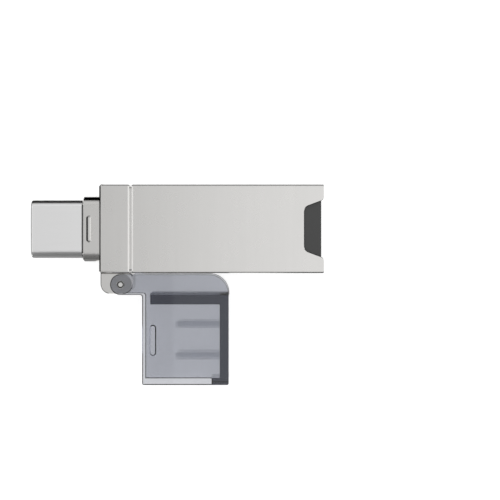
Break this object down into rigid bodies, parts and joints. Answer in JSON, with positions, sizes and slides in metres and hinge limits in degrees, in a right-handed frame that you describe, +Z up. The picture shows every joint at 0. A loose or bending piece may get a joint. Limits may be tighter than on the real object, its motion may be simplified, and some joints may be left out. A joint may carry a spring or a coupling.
{
  "type": "memory card reader",
  "caption": "Flat metal pocket reader for small memory cards, with a reversible plug under a clear cap that swings on a side pin and a wide plug with the card slot at the other end.",
  "frame": {"origin": "middle of the housing's underside, on the sleeve's lower face", "axes": "+X from the reversible plug towards the card end, +Y away from the hinge, +Z up from the face it lies on"},
  "size_m": [0.0412, 0.028, 0.0046],
  "materials": {
    "satin_metal": "satin, very faint lengthwise grain",
    "polished_steel": "polished end",
    "plug_steel": "smooth drawn steel",
    "spring_steel": "stamped spring steel",
    "gold_contact": "gold flash",
    "black_moulding": "black glass-filled moulding",
    "dark_moulding": "dark grey moulding",
    "board_laminate": "green solder mask",
    "chip_epoxy": "moulded epoxy",
    "capacitor_ceramic": "ceramic chip",
    "resistor_body": "thick film chip",
    "smoke_clear": "smoke-tinted clear moulding"
  },
  "bodies": {
    "reader": {"housing_sleeve": "satin_metal", "head_block": "satin_metal", "hinge_pin": "polished_steel", "usb_c_shell": "plug_steel", "usb_c_insulator": "black_moulding", "usb_c_latch_plate": "spring_steel", "usb_c_upper_contacts": "gold_contact", "usb_c_lower_contacts": "gold_contact", "usb_c_upper_ground_spring": "spring_steel", "usb_c_lower_ground_spring": "spring_steel", "circuit_board": "board_laminate", "card_reader_chip": "chip_epoxy", "voltage_regulator": "chip_epoxy", "capacitors": "capacitor_ceramic", "resistors": "resistor_body", "card_frame": "dark_moulding", "card_contacts": "gold_contact", "usb_a_contacts": "gold_contact", "board_cradle": "dark_moulding"},
    "cap": {"flip_cap": "smoke_clear"}
  },
  "joints": [
    {"name": "cap_swing", "type": "hinge", "parent": "reader", "child": "cap", "pos_m": [-0.01272, -0.0078, 0.0023], "axis": [0, 0, -1], "range_deg": [0, 180]}
  ]
}
